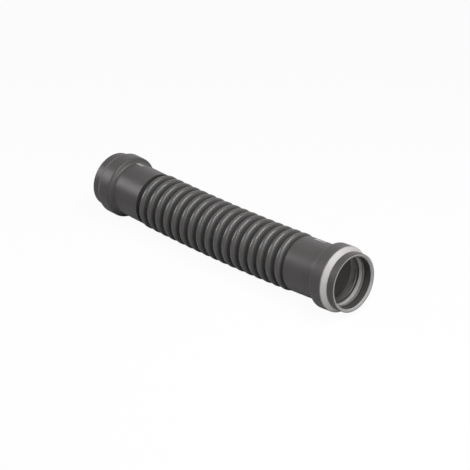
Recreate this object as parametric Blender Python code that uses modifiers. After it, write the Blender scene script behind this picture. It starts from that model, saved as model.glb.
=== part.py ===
"""Flexible drain coupling: a ribbed flexible hose with a push-fit socket on each end.

Lies on the floor in metres, +Z up, long way along X, bottom centre of its box at the origin.
"""
import bpy
from math import asin, cos, pi, radians, sin, tan
from mathutils import Matrix, Vector

# Driving sizes
PIPE_R = 0.025              # the drain pipe that is pushed into either socket
PIPE_PLAY = 0.0004          # round the pipe in the bore
FIT_GAP = 0.0003            # clearance between pieces that touch in the real product
WALL = 0.0022               # of the socket round the hose cuff and over the seal
PIPE_WALL = 0.0022          # of the socket round the pipe
COLLAR_WALL = 0.0034        # at the mouth, where the pipe is driven in
GROOVE_DEPTH = 0.0048       # seat of the seal, outside the bore
STOP_STEP = 0.0022          # how far the pipe stop stands into the bore
SOCKET_LEN = 0.0655
COLLAR_END = 0.0084
BEAD_START = 0.0132
BEAD_END = 0.0268
BEAD_ROUND = 0.0010
SHOULDER_END = 0.0296
STOP_AT = 0.0470
STOP_LEN = 0.0023
RIB_COUNT = 17
RIB_PITCH = 0.0120
RIB_HEIGHT = 0.0040
VALLEY_STEP = 0.0003        # from the cuff down to the valleys
HOSE_WALL = 0.0016
RIB_BASE = 0.0076           # width of a rib where it leaves the valleys
RIB_TOP = 0.0032
RIB_ROUND = 0.0009
ROLL = radians(75.0)        # how far the plane of the bend dips below level at rest
LIP_SQUEEZE = 0.0005        # how much tighter than the pipe the seal lips are
FRONT_LIP = 0.0068          # from the end of the collar to each lip
REAR_LIP = 0.0106
HOSE_SIDES = 24
SOCKET_SIDES = 48
SEAL_SIDES = 24

# Radii that follow from the pipe, outwards through the socket and inwards to the hose
BORE_R = PIPE_R + PIPE_PLAY
GROOVE_R = BORE_R + GROOVE_DEPTH
BEAD_R = GROOVE_R + WALL
COLLAR_R = BORE_R + COLLAR_WALL
SLEEVE_R = BORE_R + PIPE_WALL
STOP_R = BORE_R - STOP_STEP
LIP_R = PIPE_R - LIP_SQUEEZE
CUFF_R = SLEEVE_R - WALL - FIT_GAP
VALLEY_R = CUFF_R - VALLEY_STEP
CREST_R = VALLEY_R + RIB_HEIGHT

HOSE_LEN = RIB_COUNT * RIB_PITCH + (RIB_PITCH - RIB_BASE)
CUFF_LEN = SOCKET_LEN - STOP_AT - STOP_LEN - FIT_GAP

# The bend that lets the middle ribs and both beads touch the floor together
BEAD_REACH = SOCKET_LEN - BEAD_END + BEAD_ROUND
BEND = 0.1
for _ in range(9):
    tip = asin(sin(BEND / 2) * sin(ROLL))
    sag = (BEAD_R * cos(tip) - CREST_R) / sin(ROLL)
    BEND = sag / (HOSE_LEN / 8 + BEAD_REACH / 2)
BEND_R = HOSE_LEN / BEND
PIVOT_X = BEND_R * tan(BEND / 4)

for old in list(bpy.data.objects):
    bpy.data.objects.remove(old)

PART = bpy.data.collections.new("flexible_drain_coupling")
bpy.context.scene.collection.children.link(PART)


def plastic(name, colour, roughness):
    """One Principled material for one piece."""
    material = bpy.data.materials.new(name)
    material.use_nodes = True
    shader = material.node_tree.nodes["Principled BSDF"]
    shader.inputs["Base Color"].default_value = (*colour, 1.0)
    shader.inputs["Roughness"].default_value = roughness
    return material


def turned(name, profile, sides, material):
    """Closed (radius, height) profile turned about Z, outer side first, top to bottom."""
    mesh = bpy.data.meshes.new(name)
    verts = [(radius, 0.0, height) for radius, height in profile]
    count = len(verts)
    edges = [(i, (i + 1) % count) for i in range(count)]
    mesh.from_pydata(verts, edges, [])
    mesh.materials.append(material)
    piece = bpy.data.objects.new(name, mesh)
    PART.objects.link(piece)
    screw = piece.modifiers.new("turn", "SCREW")
    screw.axis = "Z"
    screw.angle = 2 * pi
    screw.steps = sides
    screw.render_steps = sides
    screw.use_merge_vertices = True
    screw.merge_threshold = 0.00001
    return piece


def baked(piece):
    """Keeps the turned shape as plain mesh."""
    shaped = piece.evaluated_get(bpy.context.evaluated_depsgraph_get())
    mesh = bpy.data.meshes.new_from_object(shaped)
    mesh.name = piece.name
    piece.modifiers.clear()
    piece.data = mesh
    return mesh


def on_arc(point):
    """Point of the straight hose, long way Z, on the bent one: bulge towards +X."""
    turn = point.z / BEND_R
    reach = BEND_R + point.x
    return Vector((reach * cos(turn) - BEND_R, point.y, reach * sin(turn)))


def socket_profile():
    """Half section of a socket, mouth at height 0 and sleeve edge below it."""
    lead_r = BORE_R + 0.0015
    outer = [
        (COLLAR_R - 0.0004, 0.0),
        (COLLAR_R, -0.0004),
        (COLLAR_R, -COLLAR_END),
        (BEAD_R - 0.0006, -BEAD_START + 0.0006),
        (BEAD_R, -BEAD_START - 0.0004),
        (BEAD_R, -BEAD_END + BEAD_ROUND),
        (BEAD_R - BEAD_ROUND / 2, -BEAD_END),
        (BEAD_R - 0.0018, -BEAD_END - 0.0008),
        (SLEEVE_R + 0.0009, -SHOULDER_END + 0.0006),
        (SLEEVE_R, -SHOULDER_END - 0.0004),
        (SLEEVE_R, -SOCKET_LEN + 0.0004),
        (SLEEVE_R - 0.0004, -SOCKET_LEN),
    ]
    inner = [
        (CUFF_R + FIT_GAP, -SOCKET_LEN),
        (CUFF_R + FIT_GAP, -STOP_AT - STOP_LEN),
        (STOP_R, -STOP_AT - STOP_LEN),
        (STOP_R, -STOP_AT),
        (BORE_R, -STOP_AT),
        (BORE_R, -SHOULDER_END + 0.0010),
        (GROOVE_R, -BEAD_END + 0.0008),
        (GROOVE_R, -BEAD_START - 0.0006),
        (BORE_R + 0.0002, -COLLAR_END - 0.0004),
        (BORE_R, -0.0018),
        (lead_r, 0.0),
    ]
    return outer + inner


def seal_profile():
    """Half section of the rubber ring: long ramp to the front lip, hollow, rear lip, flush band."""
    outer_r = GROOVE_R - FIT_GAP
    front = COLLAR_END + FRONT_LIP
    rear = COLLAR_END + REAR_LIP
    return [
        (BORE_R + 0.0001, -COLLAR_END - FIT_GAP - 0.0005),
        (outer_r, -BEAD_START - 0.0009),
        (outer_r, -BEAD_END + 0.0012),
        (BORE_R + 0.0006, -SHOULDER_END + 0.0019),
        (BORE_R, -SHOULDER_END + 0.0026),
        (BORE_R, -rear - 0.0018),
        (LIP_R, -rear - 0.0004),
        (LIP_R - 0.0001, -rear + 0.0003),
        (LIP_R + 0.0005, -rear + 0.0010),
        (BORE_R + 0.0014, -rear + 0.0022),
        (BORE_R + 0.0014, -front - 0.0010),
        (LIP_R + 0.0003, -front - 0.0006),
        (LIP_R - 0.0001, -front),
        (BORE_R - 0.0002, -COLLAR_END - 0.0028),
    ]


def hose_profile():
    """Half section of the hose: plain cuff, ribs and valleys, plain cuff."""
    top = HOSE_LEN / 2 + CUFF_LEN
    centres = [RIB_PITCH * (i - (RIB_COUNT - 1) / 2) for i in range(RIB_COUNT)]
    outer = [(CUFF_R, top), (CUFF_R, HOSE_LEN / 2 + 0.0004)]
    inner = [(CUFF_R - HOSE_WALL, -top)]
    for centre in reversed(centres):
        outer += [
            (VALLEY_R, centre + RIB_BASE / 2),
            (CREST_R - RIB_ROUND, centre + RIB_BASE / 2 - 0.0008),
            (CREST_R, centre + RIB_TOP / 2),
            (CREST_R, centre - RIB_TOP / 2),
            (CREST_R - RIB_ROUND, centre - RIB_BASE / 2 + 0.0008),
            (VALLEY_R, centre - RIB_BASE / 2),
        ]
    for centre in centres:
        inner += [
            (VALLEY_R - HOSE_WALL, centre - RIB_BASE / 2 + 0.0009),
            (CREST_R - HOSE_WALL, centre - RIB_BASE / 2 + 0.0020),
            (CREST_R - HOSE_WALL, centre + RIB_BASE / 2 - 0.0020),
            (VALLEY_R - HOSE_WALL, centre + RIB_BASE / 2 - 0.0009),
        ]
    outer += [(CUFF_R, -HOSE_LEN / 2 - 0.0004), (CUFF_R, -top)]
    inner += [(CUFF_R - HOSE_WALL, top)]
    return outer + inner


# Ribbed hose: turned straight and then laid on the arc of the bend
hose = turned("corrugated_hose", hose_profile(), HOSE_SIDES,
              plastic("hose_plastic", (0.060, 0.060, 0.062), 0.45))
for vertex in baked(hose).vertices:
    vertex.co = on_arc(vertex.co)

# Bend plane: X of the part along the chord, bulge to -Y and down
bulge = Vector((0.0, -cos(ROLL), -sin(ROLL)))
hose.matrix_world = Matrix((bulge, Vector((1, 0, 0)).cross(bulge), (1, 0, 0))).transposed().to_4x4()

# Sockets and seals: each pair hangs on an empty at the middle of its half of the hose
for end, side in (("near", 1), ("far", -1)):
    pivot = bpy.data.objects.new(end + "_flex_pivot", None)
    pivot.empty_display_size = 0.02
    PART.objects.link(pivot)
    outward = Vector((side * cos(BEND / 2), 0, 0)) - bulge * sin(BEND / 2)
    across = Vector((side, 0, 0)).cross(bulge)
    axes = Matrix((across.cross(outward), across, outward)).transposed().to_4x4()
    pivot.matrix_world = Matrix.Translation((side * PIVOT_X, 0, 0)) @ axes
    reach = PIVOT_X + SOCKET_LEN
    socket = turned(end + "_socket", socket_profile(), SOCKET_SIDES,
                    plastic(end + "_socket_plastic", (0.055, 0.055, 0.058), 0.38))
    seal = turned(end + "_lip_seal", seal_profile(), SEAL_SIDES,
                  plastic(end + "_seal_rubber", (0.020, 0.020, 0.020), 0.60))
    for piece in (socket, seal):
        piece.parent = pivot
        piece.location = (0, 0, reach)

# Set on the floor with the bottom centre of the box at the origin
bpy.context.view_layer.update()
graph = bpy.context.evaluated_depsgraph_get()
points = []
for piece in PART.objects:
    if piece.type == "MESH":
        shape = piece.evaluated_get(graph)
        points += [shape.matrix_world @ v.co for v in shape.data.vertices]
low = Vector([min(p[axis] for p in points) for axis in range(3)])
high = Vector([max(p[axis] for p in points) for axis in range(3)])
shift = Vector(((low.x + high.x) / 2, (low.y + high.y) / 2, low.z))
for piece in PART.objects:
    if piece.parent is None:
        piece.location -= shift
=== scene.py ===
"""Flexible drain coupling lying on a pale floor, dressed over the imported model."""
import math

import bmesh
import bpy
from mathutils import Matrix, Vector


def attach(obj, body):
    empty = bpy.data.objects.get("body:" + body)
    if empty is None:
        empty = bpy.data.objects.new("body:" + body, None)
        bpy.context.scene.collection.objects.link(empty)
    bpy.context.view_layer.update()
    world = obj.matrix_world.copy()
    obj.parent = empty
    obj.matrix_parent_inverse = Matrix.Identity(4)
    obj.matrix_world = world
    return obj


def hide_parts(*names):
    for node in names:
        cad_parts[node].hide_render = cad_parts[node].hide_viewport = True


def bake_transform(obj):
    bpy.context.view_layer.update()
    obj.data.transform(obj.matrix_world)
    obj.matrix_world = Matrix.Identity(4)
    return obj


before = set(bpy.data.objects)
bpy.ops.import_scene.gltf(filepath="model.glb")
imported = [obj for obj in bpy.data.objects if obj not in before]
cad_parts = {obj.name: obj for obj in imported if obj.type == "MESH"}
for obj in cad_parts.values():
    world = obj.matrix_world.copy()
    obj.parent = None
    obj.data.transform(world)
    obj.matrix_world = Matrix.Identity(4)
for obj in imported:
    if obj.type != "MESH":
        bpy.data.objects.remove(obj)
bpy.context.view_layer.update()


# Corrugated hose. One blow-moulded polypropylene tube with seventeen round-shouldered ribs
# and a plain cuff at each end, welded into the sockets. It is made as two halves that meet
# under the middle rib.
HOSE = {
    "Rib Pitch": 0.0120,
    "Rib Base": 0.0076,
    "Rib Count": 17,
    "Crest Radius": 0.0288,
    "Valley Radius": 0.0248,
    "Cuff Radius": 0.0251,
    "Wall": 0.0016,
    "Bend Radius": 2.5842,
    "Rings": 300,
    "Inner Rings": 60,
    "Sides": 256,
}
RIB_REACH = 0.55            # half a rib's foot, as a share of Rib Base
RIB_CROWDING = 0.6          # how far the columns draw in on the flanks, 0 for even columns
RIB_FALL = (                # distance from the rib's middle and height there, both as shares
    (0.15, 0.985), (0.30, 0.935), (0.45, 0.845), (0.58, 0.72), (0.70, 0.55), (0.80, 0.36),
    (0.89, 0.17), (0.96, 0.04),
)
CUFF_STEP = 0.0025          # length of the slope from the last rib up to the cuff
SEAM = 0.00001              # points closer than this are joined where the tube closes
CREASE = math.radians(65)   # edges that turn more than this stay sharp
HOSE_MIDDLE = Vector((0.0, -0.001022, 0.028801))    # on the centre line, under the middle rib
HOSE_BULGE = Vector((0.0, -0.258819, -0.965926))    # the way that the bend bulges
HOSE_REACH = 0.1199         # from the middle to the end of each half


class Sums:
    """Writes arithmetic as math nodes in one tree."""

    def __init__(self, tree, kind="ShaderNodeMath"):
        self.tree = tree
        self.kind = kind

    def __call__(self, operation, *values, clamp=False):
        node = self.tree.nodes.new(self.kind)
        node.operation = operation
        if clamp:
            node.use_clamp = True
        for socket, value in zip(node.inputs, values):
            if isinstance(value, (int, float, tuple)):
                socket.default_value = value
            else:
                self.tree.links.new(value, socket)
        return node.outputs[0]


def ribbed_half_tree():
    """Geometry nodes for half a hose: a grid rolled into a walled tube and laid on the arc."""
    tree = bpy.data.node_groups.new("ribbed_half_hose", "GeometryNodeTree")
    face = tree.interface
    face.new_socket(name="Geometry", in_out="OUTPUT", socket_type="NodeSocketGeometry")
    for name in ("Start", "End", "Rib Pitch", "Rib Base", "Crest Radius", "Valley Radius",
                 "Cuff Radius", "Wall", "Bend Radius"):
        face.new_socket(name=name, in_out="INPUT", socket_type="NodeSocketFloat")
    for name in ("Rib Count", "Rings", "Inner Rings", "Sides"):
        face.new_socket(name=name, in_out="INPUT", socket_type="NodeSocketInt")
    for name in ("Middle", "Bulge"):
        face.new_socket(name=name, in_out="INPUT", socket_type="NodeSocketVector")
    face.new_socket(name="Material", in_out="INPUT", socket_type="NodeSocketMaterial")

    new = tree.nodes.new
    link = tree.links.new
    sums = Sums(tree)
    vectors = Sums(tree, "ShaderNodeVectorMath")
    given = new("NodeGroupInput").outputs

    # Grid: one column for each point of the closed half section, one row for each side
    grid = new("GeometryNodeMeshGrid")
    turns = sums("ADD", sums("ADD", given["Rings"], given["Inner Rings"]), 2.0)
    link(sums("ADD", turns, 1.0), grid.inputs["Vertices X"])
    link(sums("ADD", given["Sides"], 1.0), grid.inputs["Vertices Y"])
    spot = new("ShaderNodeSeparateXYZ")
    link(new("GeometryNodeInputPosition").outputs[0], spot.inputs[0])
    column = sums("ROUND", sums("MULTIPLY", sums("ADD", spot.outputs["X"], 0.5), turns))
    back = sums("MAXIMUM", sums("SUBTRACT", sums("SUBTRACT", turns, 1.0), column), 0.0)
    share = sums("MINIMUM", sums("DIVIDE", column, given["Rings"]),
                 sums("DIVIDE", back, given["Inner Rings"]))
    past_outer = sums("GREATER_THAN", column, sums("ADD", given["Rings"], 0.5))
    before_close = sums("LESS_THAN", column, sums("SUBTRACT", turns, 0.5))
    inner = sums("MULTIPLY", past_outer, before_close)
    span = sums("SUBTRACT", given["End"], given["Start"])
    even = sums("MULTIPLY_ADD", span, share, given["Start"])
    # The columns crowd on the flanks of the ribs, where the surface turns most
    wave = sums("SINE", sums("MULTIPLY", sums("DIVIDE", even, given["Rib Pitch"]), 4 * math.pi))
    shove = sums("MULTIPLY", given["Rib Pitch"], RIB_CROWDING / (4 * math.pi))
    along = sums("MULTIPLY_ADD", wave, shove, even)
    around = sums("MULTIPLY", sums("ADD", spot.outputs["Y"], 0.5), 2 * math.pi)

    # Rib height from the distance to the nearest rib's middle
    phase = sums("FRACT", sums("ADD", sums("DIVIDE", along, given["Rib Pitch"]), 0.5))
    off = sums("MULTIPLY", sums("ABSOLUTE", sums("SUBTRACT", phase, 0.5)), given["Rib Pitch"])
    reach = sums("MULTIPLY", given["Rib Base"], RIB_REACH)
    rib = new("ShaderNodeFloatCurve")
    line = rib.mapping.curves[0].points
    line[0].location = (0.0, 1.0)
    line[1].location = (1.0, 0.0)
    for distance, share_of_height in RIB_FALL:
        line.new(distance, share_of_height)
    rib.mapping.update()
    link(sums("DIVIDE", off, reach, clamp=True), rib.inputs["Value"])
    ribbed_end = sums("MULTIPLY", sums("MULTIPLY", given["Rib Count"], 0.5), given["Rib Pitch"])
    far = sums("ABSOLUTE", along)
    height = sums("MULTIPLY", rib.outputs[0], sums("LESS_THAN", far, ribbed_end))
    depth = sums("SUBTRACT", given["Crest Radius"], given["Valley Radius"])
    ribbed = sums("MULTIPLY_ADD", depth, height, given["Valley Radius"])
    cuff = new("ShaderNodeMapRange")
    cuff.interpolation_type = "SMOOTHSTEP"
    link(far, cuff.inputs["Value"])
    link(ribbed_end, cuff.inputs["From Min"])
    link(sums("ADD", ribbed_end, CUFF_STEP), cuff.inputs["From Max"])
    link(ribbed, cuff.inputs["To Min"])
    link(given["Cuff Radius"], cuff.inputs["To Max"])
    radius = sums("SUBTRACT", cuff.outputs[0], sums("MULTIPLY", inner, given["Wall"]))

    # Roll round the middle line and lay on the arc of the bend
    turn = sums("DIVIDE", along, given["Bend Radius"])
    outward = sums("MULTIPLY_ADD", radius, sums("COSINE", around), given["Bend Radius"])
    chord = sums("MULTIPLY", outward, sums("SINE", turn))
    drop = sums("SUBTRACT", sums("MULTIPLY", outward, sums("COSINE", turn)), given["Bend Radius"])
    sideways = sums("MULTIPLY", radius, sums("SINE", around))
    across = vectors("CROSS_PRODUCT", (1.0, 0.0, 0.0), given["Bulge"])
    lengthways = new("ShaderNodeCombineXYZ")
    link(chord, lengthways.inputs["X"])
    place = vectors("ADD", given["Middle"], lengthways.outputs[0])
    for direction, amount in ((given["Bulge"], drop), (across, sideways)):
        part = new("ShaderNodeVectorMath")
        part.operation = "SCALE"
        link(direction, part.inputs[0])
        link(amount, part.inputs["Scale"])
        place = vectors("ADD", place, part.outputs[0])

    shape = grid.outputs["Mesh"]
    for name, value in (("along", along), ("around", around), ("inside", inner),
                        ("rib_height", height)):
        store = new("GeometryNodeStoreNamedAttribute")
        store.inputs["Name"].default_value = name
        link(shape, store.inputs["Geometry"])
        link(value, store.inputs["Value"])
        shape = store.outputs[0]
    move = new("GeometryNodeSetPosition")
    link(shape, move.inputs["Geometry"])
    link(place, move.inputs["Position"])
    merge = new("GeometryNodeMergeByDistance")
    merge.inputs["Distance"].default_value = SEAM
    link(move.outputs[0], merge.inputs["Geometry"])
    angle = new("GeometryNodeInputMeshEdgeAngle")
    smooth = new("GeometryNodeSetShadeSmooth")
    smooth.domain = "EDGE"
    link(merge.outputs[0], smooth.inputs["Geometry"])
    link(sums("GREATER_THAN", angle.outputs[0], CREASE), smooth.inputs["Selection"])
    smooth.inputs["Shade Smooth"].default_value = False
    real = new("GeometryNodeRealizeInstances")
    link(smooth.outputs[0], real.inputs[0])
    coat = new("GeometryNodeSetMaterial")
    link(real.outputs[0], coat.inputs["Geometry"])
    link(given["Material"], coat.inputs["Material"])
    link(coat.outputs[0], new("NodeGroupOutput").inputs[0])
    return tree


def grown(name, tree, values):
    """Plain mesh object from a geometry nodes tree and its named input values."""
    piece = bpy.data.objects.new(name, bpy.data.meshes.new(name))
    bpy.context.scene.collection.objects.link(piece)
    modifier = piece.modifiers.new("grow", "NODES")
    modifier.node_group = tree
    for socket in tree.interface.items_tree:
        if socket.in_out == "INPUT" and socket.name in values:
            modifier[socket.identifier] = values[socket.name]
    bpy.context.view_layer.update()
    shaped = piece.evaluated_get(bpy.context.evaluated_depsgraph_get())
    mesh = bpy.data.meshes.new_from_object(shaped)
    mesh.name = name
    piece.modifiers.clear()
    piece.data = mesh
    facing = bmesh.new()
    facing.from_mesh(mesh)
    bmesh.ops.recalc_face_normals(facing, faces=facing.faces)
    facing.to_mesh(mesh)
    facing.free()
    return piece


# The skin's clouds and scuffs: how much each moves the tint, the roughness and the height
CLOUD_TINT = 0.30
CLOUD_DULL = 0.22
CLOUD_DEPTH = 2.0
SCUFF_TINT = 0.9
SCUFF_DULL = 0.25
SCUFF_DEPTH = 0.8
SCUFF_LOW = 0.60            # noise below this leaves no scuff
SCUFF_HIGH = 0.74           # noise above this leaves a full one
SCUFF_SCALE = 260.0
SCUFF_STRETCH = (1.0, 5.0, 5.0)
SCUFF_LEAN = (0.3, 0.5, 0.2)


def moulded_skin_group():
    """Fine moulded plastic skin: cloudy tint, scuffs and a light grain."""
    group = bpy.data.node_groups.new("moulded_skin", "ShaderNodeTree")
    face = group.interface
    for name, value in (("Grain Scale", 2600.0), ("Cloud Scale", 38.0), ("Scuff", 0.3),
                        ("Roughness", 0.4)):
        socket = face.new_socket(name=name, in_out="INPUT", socket_type="NodeSocketFloat")
        socket.default_value = value
    face.new_socket(name="Colour", in_out="INPUT", socket_type="NodeSocketColor")
    face.new_socket(name="Colour", in_out="OUTPUT", socket_type="NodeSocketColor")
    face.new_socket(name="Roughness", in_out="OUTPUT", socket_type="NodeSocketFloat")
    face.new_socket(name="Height", in_out="OUTPUT", socket_type="NodeSocketFloat")
    new = group.nodes.new
    link = group.links.new
    sums = Sums(group)
    given = new("NodeGroupInput").outputs
    spot = new("ShaderNodeTexCoord").outputs["Object"]

    def noise(scale, detail, rough):
        node = new("ShaderNodeTexNoise")
        node.inputs["Detail"].default_value = detail
        node.inputs["Roughness"].default_value = rough
        link(spot, node.inputs["Vector"])
        if isinstance(scale, float):
            node.inputs["Scale"].default_value = scale
        else:
            link(scale, node.inputs["Scale"])
        return node.outputs["Fac"]

    cloud = noise(given["Cloud Scale"], 4.0, 0.55)
    grain = noise(given["Grain Scale"], 2.0, 0.5)
    stretch = new("ShaderNodeMapping")
    stretch.inputs["Scale"].default_value = SCUFF_STRETCH
    stretch.inputs["Rotation"].default_value = SCUFF_LEAN
    link(spot, stretch.inputs["Vector"])
    hair = new("ShaderNodeTexNoise")
    hair.inputs["Scale"].default_value = SCUFF_SCALE
    hair.inputs["Detail"].default_value = 3.0
    hair.inputs["Distortion"].default_value = 0.6
    link(stretch.outputs[0], hair.inputs["Vector"])
    fine = new("ShaderNodeMapRange")
    fine.inputs["From Min"].default_value = SCUFF_LOW
    fine.inputs["From Max"].default_value = SCUFF_HIGH
    link(hair.outputs["Fac"], fine.inputs["Value"])
    scuff = sums("MULTIPLY", sums("MULTIPLY", fine.outputs[0], cloud), given["Scuff"])

    tint = sums("MULTIPLY_ADD", sums("SUBTRACT", cloud, 0.5), CLOUD_TINT, 1.0)
    bright = sums("MULTIPLY_ADD", scuff, SCUFF_TINT, tint)
    shade = new("ShaderNodeVectorMath")
    shade.operation = "SCALE"
    link(given["Colour"], shade.inputs[0])
    link(bright, shade.inputs["Scale"])
    rough = sums("MULTIPLY_ADD", sums("SUBTRACT", cloud, 0.5), CLOUD_DULL, given["Roughness"])
    rough = sums("MULTIPLY_ADD", scuff, SCUFF_DULL, rough)
    deep = sums("MULTIPLY_ADD", cloud, CLOUD_DEPTH, grain)
    deep = sums("SUBTRACT", deep, sums("MULTIPLY", scuff, SCUFF_DEPTH))
    out = new("NodeGroupOutput").inputs
    link(shade.outputs[0], out["Colour"])
    link(rough, out["Roughness"])
    link(deep, out["Height"])
    return group


MOULDED_SKIN = moulded_skin_group()


def moulded_material(name, colour, roughness, scuff, bump=0.00003, shine=0.26):
    """Principled plastic with the moulded skin; returns the material and its open ends."""
    material = bpy.data.materials.new(name)
    material.use_nodes = True
    tree = material.node_tree
    shader = tree.nodes["Principled BSDF"]
    shader.inputs["IOR"].default_value = 1.49
    shader.inputs["Specular IOR Level"].default_value = shine
    skin = tree.nodes.new("ShaderNodeGroup")
    skin.node_tree = MOULDED_SKIN
    skin.inputs["Colour"].default_value = (*colour, 1.0)
    skin.inputs["Roughness"].default_value = roughness
    skin.inputs["Scuff"].default_value = scuff
    relief = tree.nodes.new("ShaderNodeBump")
    relief.inputs["Distance"].default_value = bump
    tree.links.new(skin.outputs["Height"], relief.inputs["Height"])
    tree.links.new(relief.outputs[0], shader.inputs["Normal"])
    tree.links.new(skin.outputs["Colour"], shader.inputs["Base Color"])
    tree.links.new(skin.outputs["Roughness"], shader.inputs["Roughness"])
    return material, skin, shader


def read(tree, name):
    """Value of a stored attribute over the surface."""
    node = tree.nodes.new("ShaderNodeAttribute")
    node.attribute_name = name
    return node.outputs["Fac"]


VALLEY_PAINTED_SHADE = 0.06          # share of the skin's colour left in the valleys: painted shade
CREST_TONE = 1.0            # added towards the crests, where the painted shade lifts
BORE_PAINTED_LIGHT = 1.0             # painted light added inside the tube, where little light reaches
VALLEY_DULL = 0.55          # added to the roughness in the valleys
CREST_POLISH = -0.55        # and taken off again on the crests
hose_plastic, hose_skin, hose_shader = moulded_material(
    "hose_plastic", (0.040, 0.037, 0.036), roughness=0.28, scuff=0.08, bump=0.000002, shine=0.56)
hose_nodes = hose_plastic.node_tree
hose_sums = Sums(hose_nodes)
hose_rib = read(hose_nodes, "rib_height")
# Painted shade: the colour darkens from the crests into the flanks and valleys, which are also
# rougher
hose_shade_and_light = hose_sums("MULTIPLY_ADD", hose_rib, CREST_TONE, VALLEY_PAINTED_SHADE)
hose_dull = hose_sums("MULTIPLY_ADD", hose_rib, CREST_POLISH, VALLEY_DULL)
hose_nodes.links.new(hose_sums("ADD", hose_dull, hose_skin.outputs["Roughness"]),
                     hose_shader.inputs["Roughness"])
# Painted light: the inside of the tube is made paler, where little light reaches
hose_shade_and_light = hose_sums("MULTIPLY_ADD", read(hose_nodes, "inside"), BORE_PAINTED_LIGHT, hose_shade_and_light)
hose_colour = hose_nodes.nodes.new("ShaderNodeVectorMath")
hose_colour.operation = "SCALE"
hose_nodes.links.new(hose_skin.outputs["Colour"], hose_colour.inputs[0])
hose_nodes.links.new(hose_shade_and_light, hose_colour.inputs["Scale"])
hose_nodes.links.new(hose_colour.outputs[0], hose_shader.inputs["Base Color"])

hose_tree = ribbed_half_tree()
for end, side in (("near", 1), ("far", -1)):
    half = grown(end + "_hose_half", hose_tree, {
        **HOSE,
        "Start": 0.0,
        "End": side * HOSE_REACH,
        "Middle": HOSE_MIDDLE,
        "Bulge": HOSE_BULGE,
        "Material": hose_plastic,
    })
    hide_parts("corrugated_hose")
    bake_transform(half)


# Push-fit sockets. Smooth injection mouldings: a collar at the mouth, a cone up to the bead
# that holds the seal, a rounded shoulder and the sleeve that the hose is welded into.
# The cone and the bevelled end face are pale grey on the near one and darker on the far one. The
# bore behind the seal and the pipe stop carry painted light.
SOCKET_SECTION = [
    # radius, depth from the mouth, rounding and paleness of the face that follows, in mm; the
    # paleness is a pale finish on the cone and end face, and painted light on the bore behind the
    # seal and the pipe stop
    (28.8, 0.0, 0.45, 0),
    (28.8, 7.6, 0.10, 1),
    (28.8, 8.4, 0.35, 1),
    (32.4, 13.1, 0.45, 0.35),
    (32.4, 13.9, 0.10, 0),
    (32.4, 26.8, 1.6, 0),
    (27.6, 29.6, 2.4, 0),
    (27.6, 65.5, 0.35, 0),
    (25.4, 65.5, 0.15, 0),
    (25.4, 49.3, 0.10, 0),
    # Pipe stop and the bore wall behind the seal: the paleness here is painted light
    (23.2, 49.3, 0.20, 0.35),
    (23.2, 47.0, 0.50, 0.35),
    (25.4, 47.0, 0.20, 0.38),
    (25.4, 28.6, 0.30, 0),
    (30.2, 26.0, 0.50, 0),
    (30.2, 13.8, 0.50, 0),
    (25.6, 8.8, 0.30, 0),
    (25.4, 1.8, 0.30, 0.65),
    (26.9, 0.0, 0.15, 0.6),
]
MOUTH = Vector((0.16961845, 0.00020499, 0.03338027))   # middle of the near mouth
OUTWARD = Vector((0.999187, 0.010433, 0.038937))        # the way that it faces
SOCKET_DARK = (0.044, 0.041, 0.0405)
# Pale finish of the near cone and end face, also used as painted light in the bore
SOCKET_PALE_AND_PAINTED_LIGHT = (0.31, 0.30, 0.295)
PALE_DULL = 0.08            # added to the roughness where the plastic is pale and where light is painted
SOCKET_CREASE = math.radians(40)    # edges that turn more than this stay sharp
RING_SEAM = 0.000002        # points closer than this are joined where a ring closes


def end_place(side):
    """Matrix of an end: Z out of the mouth, origin at the mouth's middle, X to the bulge."""
    middle = Vector((side * MOUTH.x, MOUTH.y, MOUTH.z))
    out = Vector((side * OUTWARD.x, OUTWARD.y, OUTWARD.z)).normalized()
    across = out.cross(HOSE_BULGE).normalized()
    down = across.cross(out)
    return Matrix.Translation(middle) @ Matrix((down, across, out)).transposed().to_4x4()


def rounded(section, steps=5, support=0.12):
    """Closed section, in mm, with each corner rounded and a support point on either side of it."""
    points = []
    count = len(section)
    for i, (radius, depth, size, pale_and_painted_light) in enumerate(section):
        here = Vector((radius, -depth))
        before = Vector((section[i - 1][0], -section[i - 1][1]))
        after = Vector((section[(i + 1) % count][0], -section[(i + 1) % count][1]))
        into = (before - here).normalized()
        on = (after - here).normalized()
        previous_pale_and_painted_light = section[i - 1][3]
        points.append((here + into * (size + support), previous_pale_and_painted_light))
        for k in range(steps + 1):
            t = k / steps
            spot = (here + into * size) * (1 - t) ** 2 + here * 2 * t * (1 - t)
            spot += (here + on * size) * t ** 2
            points.append((spot, min(previous_pale_and_painted_light, pale_and_painted_light)))
        points.append((here + on * (size + support), pale_and_painted_light))
    return points


def turned_ring(name, section, place, sides, material):
    """Closed section, in mm, turned about Z and put in place."""
    points = rounded(section)
    ring = bmesh.new()
    pale_and_painted_light_layer = ring.verts.layers.float.new("pale_and_painted_light")
    verts = []
    for spot, pale_and_painted_light in points:
        vert = ring.verts.new((spot.x / 1000, 0.0, spot.y / 1000))
        vert[pale_and_painted_light_layer] = pale_and_painted_light
        verts.append(vert)
    edges = [ring.edges.new((verts[i - 1], verts[i])) for i in range(len(verts))]
    bmesh.ops.spin(ring, geom=verts + edges, cent=(0, 0, 0), axis=(0, 0, 1),
                   angle=2 * math.pi, steps=sides, use_merge=True)
    bmesh.ops.remove_doubles(ring, verts=ring.verts, dist=RING_SEAM)
    bmesh.ops.recalc_face_normals(ring, faces=ring.faces)
    bmesh.ops.transform(ring, matrix=place, verts=ring.verts)
    mesh = bpy.data.meshes.new(name)
    ring.to_mesh(mesh)
    ring.free()
    mesh.materials.append(material)
    mesh.shade_smooth()
    mesh.set_sharp_from_angle(angle=SOCKET_CREASE)
    piece = bpy.data.objects.new(name, mesh)
    bpy.context.scene.collection.objects.link(piece)
    return piece


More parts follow.
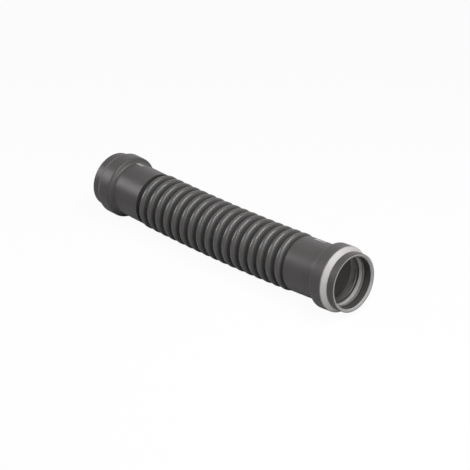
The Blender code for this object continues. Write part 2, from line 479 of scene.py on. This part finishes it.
def socket_material(name, pale_and_light_share):
    """Dark plastic for one socket, paler by the given share on its cone and end face, with painted
    light on its inner bore and pipe stop.
    """
    material, skin, shader = moulded_material(name, SOCKET_DARK, roughness=0.36, scuff=0.15,
                                              bump=0.000012)
    tree = material.node_tree
    sums = Sums(tree)
    # Pale finish on the cone and end face, painted light on the bore and pipe stop
    pale_and_painted_light = sums("MULTIPLY", read(tree, "pale_and_painted_light"), pale_and_light_share)
    # Scuffs come out darker than the pale plastic
    pale_and_painted_light_skin = tree.nodes.new("ShaderNodeGroup")
    pale_and_painted_light_skin.node_tree = MOULDED_SKIN
    pale_and_painted_light_skin.inputs["Colour"].default_value = (*SOCKET_PALE_AND_PAINTED_LIGHT, 1.0)
    pale_and_painted_light_skin.inputs["Roughness"].default_value = 0.42
    pale_and_painted_light_skin.inputs["Scuff"].default_value = -0.25
    pale_and_painted_light_skin.inputs["Cloud Scale"].default_value = 120.0
    mix = tree.nodes.new("ShaderNodeMix")
    mix.data_type = "RGBA"
    tree.links.new(pale_and_painted_light, mix.inputs["Factor"])
    tree.links.new(skin.outputs["Colour"], mix.inputs["A"])
    tree.links.new(pale_and_painted_light_skin.outputs["Colour"], mix.inputs["B"])
    tree.links.new(mix.outputs["Result"], shader.inputs["Base Color"])
    rough = sums("MULTIPLY_ADD", pale_and_painted_light, PALE_DULL, skin.outputs["Roughness"])
    tree.links.new(rough, shader.inputs["Roughness"])
    return material


for end, side, pale_and_light_share in (("near", 1, 1.0), ("far", -1, 0.2)):
    plastic = socket_material(end + "_socket_plastic", pale_and_light_share)
    socket = turned_ring(end + "_push_fit_socket", SOCKET_SECTION, end_place(side),
                         sides=144, material=plastic)
    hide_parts(end + "_socket")
    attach(socket, end + "_end")


# Lip seals. Black rubber rings set in the bead before the pipe goes in, with a front lip,
# a hollow and a rear lip, and painted light on the lips and the band behind them.
SEAL_SECTION = [
    # radius, depth from the mouth, rounding and painted light on the face that follows, in mm
    (25.5, 9.25, 0.20, 0),
    (29.9, 14.1, 0.40, 0),
    (29.9, 25.6, 0.50, 0),
    (25.6, 27.8, 0.40, 0.8),
    (25.4, 20.9, 0.60, 0.8),
    (24.5, 19.4, 0.30, 1),
    (24.5, 18.7, 0.20, 0),
    (26.7, 17.2, 0.40, 0),
    (26.7, 16.3, 0.30, 0),
    (24.6, 15.9, 0.15, 1),
    (24.35, 15.2, 0.35, 1),
    (25.1, 11.2, 0.80, 0.35),
]
SEAL_BUMP = 0.00004
SEAL_PAINTED_LIGHT = 10.0          # painted light added to the rubber's colour on the lips and the band behind them
seal_rubber = bpy.data.materials.new("seal_rubber")
seal_rubber.use_nodes = True
seal_nodes = seal_rubber.node_tree
seal_shader = seal_nodes.nodes["Principled BSDF"]
seal_shader.inputs["IOR"].default_value = 1.52
seal_skin = seal_nodes.nodes.new("ShaderNodeGroup")
seal_skin.node_tree = MOULDED_SKIN
seal_skin.inputs["Colour"].default_value = (0.030, 0.029, 0.028, 1.0)
seal_skin.inputs["Roughness"].default_value = 0.30
seal_skin.inputs["Cloud Scale"].default_value = 90.0
seal_skin.inputs["Scuff"].default_value = 0.2
seal_relief = seal_nodes.nodes.new("ShaderNodeBump")
seal_relief.inputs["Distance"].default_value = SEAL_BUMP
seal_nodes.links.new(seal_skin.outputs["Height"], seal_relief.inputs["Height"])
seal_nodes.links.new(seal_relief.outputs[0], seal_shader.inputs["Normal"])
# Painted light: the rubber is made paler on the lips and on the band behind them
seal_painted_light_colour = seal_nodes.nodes.new("ShaderNodeVectorMath")
seal_painted_light_colour.operation = "SCALE"
seal_nodes.links.new(seal_skin.outputs["Colour"], seal_painted_light_colour.inputs[0])
seal_painted_light_scale = Sums(seal_nodes)("MULTIPLY_ADD", read(seal_nodes, "pale_and_painted_light"), SEAL_PAINTED_LIGHT, 1.0)
seal_nodes.links.new(seal_painted_light_scale, seal_painted_light_colour.inputs["Scale"])
seal_nodes.links.new(seal_painted_light_colour.outputs[0], seal_shader.inputs["Base Color"])
seal_nodes.links.new(seal_skin.outputs["Roughness"], seal_shader.inputs["Roughness"])

for end, side in (("near", 1), ("far", -1)):
    seal = turned_ring(end + "_seal_ring", SEAL_SECTION, end_place(side),
                       sides=120, material=seal_rubber)
    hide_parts(end + "_lip_seal")
    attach(seal, end + "_end")


# Setting ticks. Two rows of short raised bars moulded on top of each sleeve, plain and
# without words, with their tops rubbed paler than the sleeve.
TICKS = {
    "Columns": 2,
    "Rows": 7,
    "Spacing": 0.0025,
    "Row Spacing": 0.0019,
    "Length": 0.0009,
    "Width": 0.0016,
    "Rise": 0.00022,
    "Sleeve Radius": 0.0276,
}
SHORTEST_TICK = 0.55        # as a share of the full width


def tick_tree():
    """Geometry nodes for a flat patch of raised bars, wrapped round the sleeve."""
    tree = bpy.data.node_groups.new("raised_ticks", "GeometryNodeTree")
    face = tree.interface
    face.new_socket(name="Geometry", in_out="OUTPUT", socket_type="NodeSocketGeometry")
    for name in ("Columns", "Rows"):
        face.new_socket(name=name, in_out="INPUT", socket_type="NodeSocketInt")
    for name in ("Spacing", "Row Spacing", "Length", "Width", "Rise", "Sleeve Radius"):
        face.new_socket(name=name, in_out="INPUT", socket_type="NodeSocketFloat")
    face.new_socket(name="Seed", in_out="INPUT", socket_type="NodeSocketInt")
    face.new_socket(name="Material", in_out="INPUT", socket_type="NodeSocketMaterial")
    new = tree.nodes.new
    link = tree.links.new
    sums = Sums(tree)
    given = new("NodeGroupInput").outputs
    patch = new("GeometryNodeMeshGrid")
    link(sums("MULTIPLY", sums("SUBTRACT", given["Columns"], 1.0), given["Spacing"]),
         patch.inputs["Size X"])
    link(sums("MULTIPLY", sums("SUBTRACT", given["Rows"], 1.0), given["Row Spacing"]),
         patch.inputs["Size Y"])
    link(given["Columns"], patch.inputs["Vertices X"])
    link(given["Rows"], patch.inputs["Vertices Y"])
    bar = new("GeometryNodeMeshCube")
    size = new("ShaderNodeCombineXYZ")
    link(given["Width"], size.inputs["X"])
    link(given["Length"], size.inputs["Y"])
    link(sums("MULTIPLY", given["Rise"], 2.0), size.inputs["Z"])
    link(size.outputs[0], bar.inputs["Size"])
    stretch = new("FunctionNodeRandomValue")
    stretch.data_type = "FLOAT"
    stretch.inputs["Min"].default_value = SHORTEST_TICK
    stretch.inputs["Max"].default_value = 1.0
    link(given["Seed"], stretch.inputs["Seed"])
    scale = new("ShaderNodeCombineXYZ")
    scale.inputs["Y"].default_value = 1.0
    scale.inputs["Z"].default_value = 1.0
    link(stretch.outputs[1], scale.inputs["X"])
    put = new("GeometryNodeInstanceOnPoints")
    link(patch.outputs["Mesh"], put.inputs["Points"])
    link(bar.outputs["Mesh"], put.inputs["Instance"])
    link(scale.outputs[0], put.inputs["Scale"])
    real = new("GeometryNodeRealizeInstances")
    link(put.outputs[0], real.inputs[0])
    spot = new("ShaderNodeSeparateXYZ")
    link(new("GeometryNodeInputPosition").outputs[0], spot.inputs[0])
    turn = sums("DIVIDE", spot.outputs["X"], given["Sleeve Radius"])
    out = sums("ADD", given["Sleeve Radius"], spot.outputs["Z"])
    wrapped = new("ShaderNodeCombineXYZ")
    link(sums("MULTIPLY", out, sums("COSINE", turn)), wrapped.inputs["X"])
    link(sums("MULTIPLY", out, sums("SINE", turn)), wrapped.inputs["Y"])
    link(spot.outputs["Y"], wrapped.inputs["Z"])
    wrap = new("GeometryNodeSetPosition")
    link(real.outputs[0], wrap.inputs["Geometry"])
    link(wrapped.outputs[0], wrap.inputs["Position"])
    last = new("GeometryNodeRealizeInstances")
    link(wrap.outputs[0], last.inputs[0])
    coat = new("GeometryNodeSetMaterial")
    link(last.outputs[0], coat.inputs["Geometry"])
    link(given["Material"], coat.inputs["Material"])
    link(coat.outputs[0], new("NodeGroupOutput").inputs[0])
    return tree


tick_plastic = moulded_material("tick_plastic", (0.50, 0.49, 0.485), roughness=0.45,
                                scuff=0.2)[0]
ticks_tree = tick_tree()
for end, side, bearing, depth in (("near", 1, 180, 0.0485), ("far", -1, 175, 0.0330)):
    ticks = grown(end + "_setting_ticks", ticks_tree, {
        **TICKS,
        "Seed": 3 + side,
        "Material": tick_plastic,
    })
    turn = Matrix.Rotation(math.radians(bearing), 4, "Z")
    ticks.data.transform(end_place(side) @ Matrix.Translation((0, 0, -depth)) @ turn)
    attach(ticks, end + "_end")


# Floor. A wide white paper sheet that the coupling lies on, not part of the product. It
# shows nearly white to the camera and keeps a soft shadow.
FLOOR_HALF = 6.0
FLOOR_DROP = 0.0002         # below the lowest point, so that the two never meet
FLOOR_GLOW = 0.95           # share of white added where the camera sees the sheet
floor_mesh = bpy.data.meshes.new("white_floor")
floor_grid = bmesh.new()
bmesh.ops.create_grid(floor_grid, x_segments=1, y_segments=1, size=FLOOR_HALF)
floor_grid.to_mesh(floor_mesh)
floor_grid.free()
floor = bpy.data.objects.new("white_floor", floor_mesh)
floor.location.z = -FLOOR_DROP
bpy.context.scene.collection.objects.link(floor)
floor_paper = bpy.data.materials.new("floor_paper")
floor_paper.use_nodes = True
paper_nodes = floor_paper.node_tree
paper_shader = paper_nodes.nodes["Principled BSDF"]
paper_shader.inputs["Base Color"].default_value = (0.55, 0.55, 0.55, 1.0)
paper_shader.inputs["Roughness"].default_value = 0.9
paper_shader.inputs["Specular IOR Level"].default_value = 0.1
paper_white = paper_nodes.nodes.new("ShaderNodeEmission")
paper_path = paper_nodes.nodes.new("ShaderNodeLightPath")
paper_share = Sums(paper_nodes)("MULTIPLY", paper_path.outputs["Is Camera Ray"], FLOOR_GLOW)
paper_mix = paper_nodes.nodes.new("ShaderNodeMixShader")
paper_nodes.links.new(paper_share, paper_mix.inputs[0])
paper_nodes.links.new(paper_shader.outputs[0], paper_mix.inputs[1])
paper_nodes.links.new(paper_white.outputs[0], paper_mix.inputs[2])
paper_nodes.links.new(paper_mix.outputs[0], paper_nodes.nodes["Material Output"].inputs[0])
floor_mesh.materials.append(floor_paper)


# Light. An even pale room with a large low lamp in front of the near mouth, a long strip
# above the ribs that draws a highlight along each one, and a small lamp beside the far end.
ROOM_STRENGTH = 0.17        # of the light on the part
ROOM_SEEN = 1.0             # of the room where it is seen or mirrored
LAMPS = (
    # name, place, aim, long way, power, length and width
    ("key_lamp", (1.30, -0.28, 0.42), (0.06, 0.0, 0.03), (0.0, 1.0, 0.0), 9.4, 0.80, 0.80),
    ("strip_lamp", (0.36, -0.06, 0.72), (0.04, 0.0, 0.03), (0.24, -0.92, -0.20), 8.4, 0.80, 0.09),
    ("far_lamp", (-0.54, -0.38, 0.34), (-0.16, 0.0, 0.03), (0.0, 1.0, 0.0), 2.0, 0.30, 0.30),
)
world = bpy.data.worlds.new("pale_room")
bpy.context.scene.world = world
world.use_nodes = True
room_nodes = world.node_tree
room_light = room_nodes.nodes["Background"]
room_light.inputs["Color"].default_value = (1.0, 1.0, 1.0, 1.0)
room_light.inputs["Strength"].default_value = ROOM_STRENGTH
room_white = room_nodes.nodes.new("ShaderNodeBackground")
room_white.inputs["Color"].default_value = (1.0, 1.0, 1.0, 1.0)
room_white.inputs["Strength"].default_value = ROOM_SEEN
room_path = room_nodes.nodes.new("ShaderNodeLightPath")
room_sums = Sums(room_nodes)
seen = room_sums("MAXIMUM", room_path.outputs["Is Camera Ray"], room_path.outputs["Is Glossy Ray"])
seen = room_sums("MAXIMUM", seen, room_path.outputs["Is Transmission Ray"])
room_mix = room_nodes.nodes.new("ShaderNodeMixShader")
room_nodes.links.new(seen, room_mix.inputs[0])
room_nodes.links.new(room_light.outputs[0], room_mix.inputs[1])
room_nodes.links.new(room_white.outputs[0], room_mix.inputs[2])
room_nodes.links.new(room_mix.outputs[0], room_nodes.nodes["World Output"].inputs[0])

for name, spot, aim, along, power, length, width in LAMPS:
    lamp_data = bpy.data.lights.new(name, "AREA")
    lamp_data.energy = power
    lamp_data.shape = "RECTANGLE"
    lamp_data.size = width
    lamp_data.size_y = length
    lamp = bpy.data.objects.new(name, lamp_data)
    behind = (Vector(spot) - Vector(aim)).normalized()
    across = Vector(along).cross(behind).normalized()
    turn = Matrix((across, behind.cross(across), behind)).transposed().to_4x4()
    lamp.matrix_world = Matrix.Translation(spot) @ turn
    bpy.context.scene.collection.objects.link(lamp)


# Camera. A long lens with no roll, looking down on the near mouth from its front right, as
# fitted to the outlines in the photograph.
CAMERA_DIP = 25.122         # below level, in degrees
CAMERA_TURN = 45.916        # from +Y towards -X, in degrees
camera_data = bpy.data.cameras.new("camera")
camera_data.sensor_width = 36.0
camera_data.lens = 147.849
camera_data.clip_end = 50.0
camera = bpy.data.objects.new("camera", camera_data)
camera.location = (1.24618, -1.19615, 0.83587)
camera.rotation_euler = (math.radians(90 - CAMERA_DIP), 0.0, math.radians(CAMERA_TURN))
bpy.context.scene.collection.objects.link(camera)
bpy.context.scene.camera = camera
bpy.context.scene.view_settings.view_transform = "Standard"
